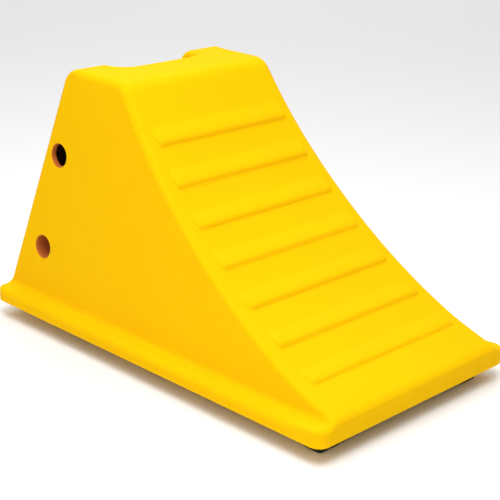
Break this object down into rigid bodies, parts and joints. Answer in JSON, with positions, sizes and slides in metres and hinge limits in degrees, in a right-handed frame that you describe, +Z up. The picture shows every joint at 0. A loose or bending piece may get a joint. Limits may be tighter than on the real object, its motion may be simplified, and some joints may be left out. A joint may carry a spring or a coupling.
{
  "type": "wheel chock",
  "caption": "Hollow moulded wedge that blocks a truck wheel: concave ribbed tyre face, side flanges, hand-grip notch, rope holes and rubber grip pads underneath.",
  "frame": {"origin": "on the ground, under the middle of the chock's length and width", "axes": "+X to the toe, the thin end that meets the tyre; +Y across the width; +Z up"},
  "size_m": [0.365, 0.216, 0.2173],
  "materials": {
    "yellow_urethane": "satin moulded polyurethane",
    "black_rubber": "matte",
    "zinc_steel": "bright zinc plate",
    "brass": "turned"
  },
  "bodies": {
    "root": {"chock_body": "yellow_urethane", "toe_grip_pad": "black_rubber", "heel_grip_pad": "black_rubber", "toe_pad_screw_1": "zinc_steel", "toe_pad_screw_2": "zinc_steel", "toe_pad_screw_3": "zinc_steel", "toe_pad_screw_4": "zinc_steel", "toe_pad_washer_1": "zinc_steel", "toe_pad_washer_2": "zinc_steel", "toe_pad_washer_3": "zinc_steel", "toe_pad_washer_4": "zinc_steel", "toe_pad_insert_1": "brass", "toe_pad_insert_2": "brass", "toe_pad_insert_3": "brass", "toe_pad_insert_4": "brass", "heel_pad_screw_1": "zinc_steel", "heel_pad_screw_2": "zinc_steel", "heel_pad_screw_3": "zinc_steel", "heel_pad_screw_4": "zinc_steel", "heel_pad_washer_1": "zinc_steel", "heel_pad_washer_2": "zinc_steel", "heel_pad_washer_3": "zinc_steel", "heel_pad_washer_4": "zinc_steel", "heel_pad_insert_1": "brass", "heel_pad_insert_2": "brass", "heel_pad_insert_3": "brass", "heel_pad_insert_4": "brass"}
  },
  "joints": []
}
